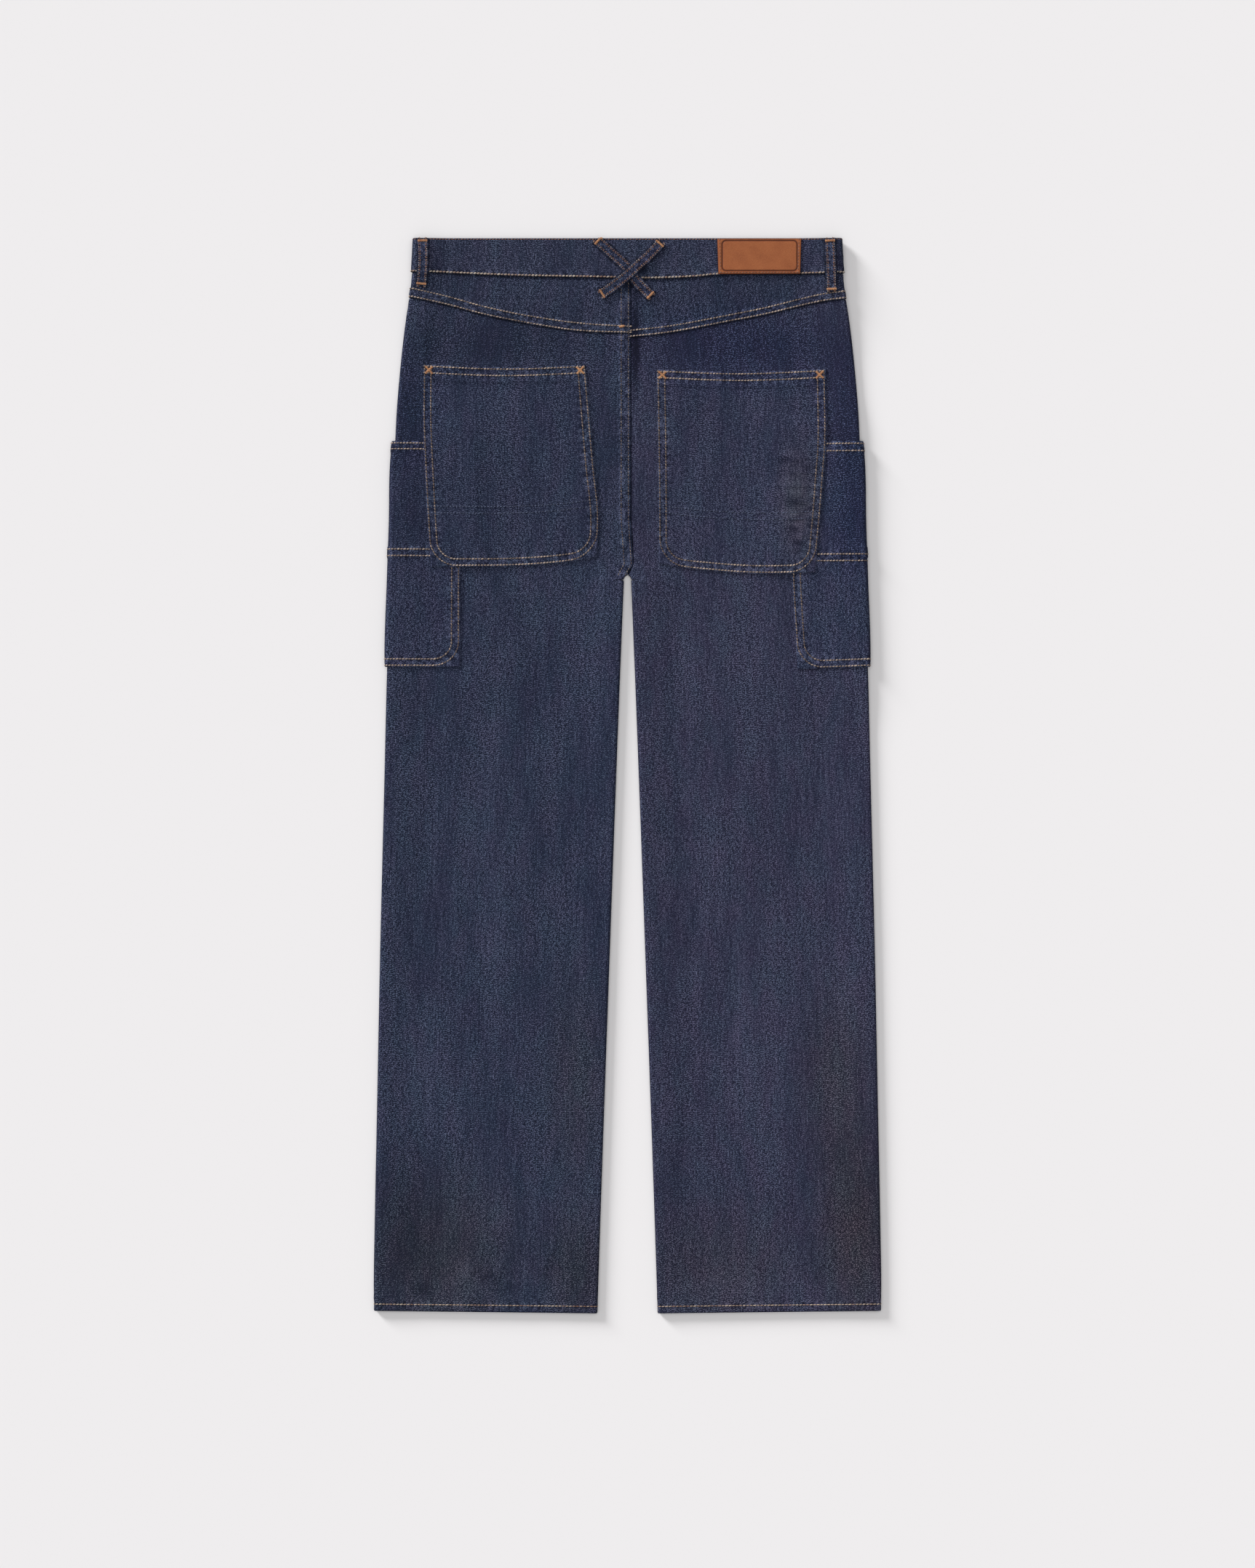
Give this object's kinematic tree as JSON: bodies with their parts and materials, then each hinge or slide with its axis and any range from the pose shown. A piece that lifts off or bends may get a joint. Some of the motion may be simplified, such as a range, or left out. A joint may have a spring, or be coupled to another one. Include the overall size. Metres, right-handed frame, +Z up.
{
  "type": "cargo jeans",
  "caption": "Wide straight-leg cargo jeans in dark denim, lying flat on their front with back and side patch pockets, a pointed yoke and crossed belt loops.",
  "frame": {"origin": "on the surface that the jeans rest on, at the middle of their length and width", "axes": "+Y from the hems up to the waist, +X towards the wearer's right side, +Z up from the resting face, so the back of the jeans faces +Z"},
  "size_m": [0.506, 1.0714, 0.0124],
  "materials": {
    "denim_leg": "matt twill",
    "denim_pocket": "matt twill",
    "denim_trim": "matt twill",
    "leather": "smooth",
    "brass": "aged"
  },
  "bodies": {
    "root": {"back_left": "denim_leg", "back_right": "denim_leg", "yoke_left": "denim_leg", "yoke_right": "denim_leg", "front_left": "denim_leg", "front_right": "denim_leg", "fly": "denim_leg", "waistband": "denim_trim", "back_pocket_left": "denim_pocket", "back_pocket_right": "denim_pocket", "cargo_pocket_left": "denim_pocket", "cargo_pocket_right": "denim_pocket", "belt_loop_left": "denim_trim", "belt_loop_right": "denim_trim", "front_belt_loop_left": "denim_trim", "front_belt_loop_right": "denim_trim", "cross_loop_under": "denim_trim", "cross_loop_over": "denim_trim", "patch": "leather", "waist_button": "brass"}
  },
  "joints": []
}
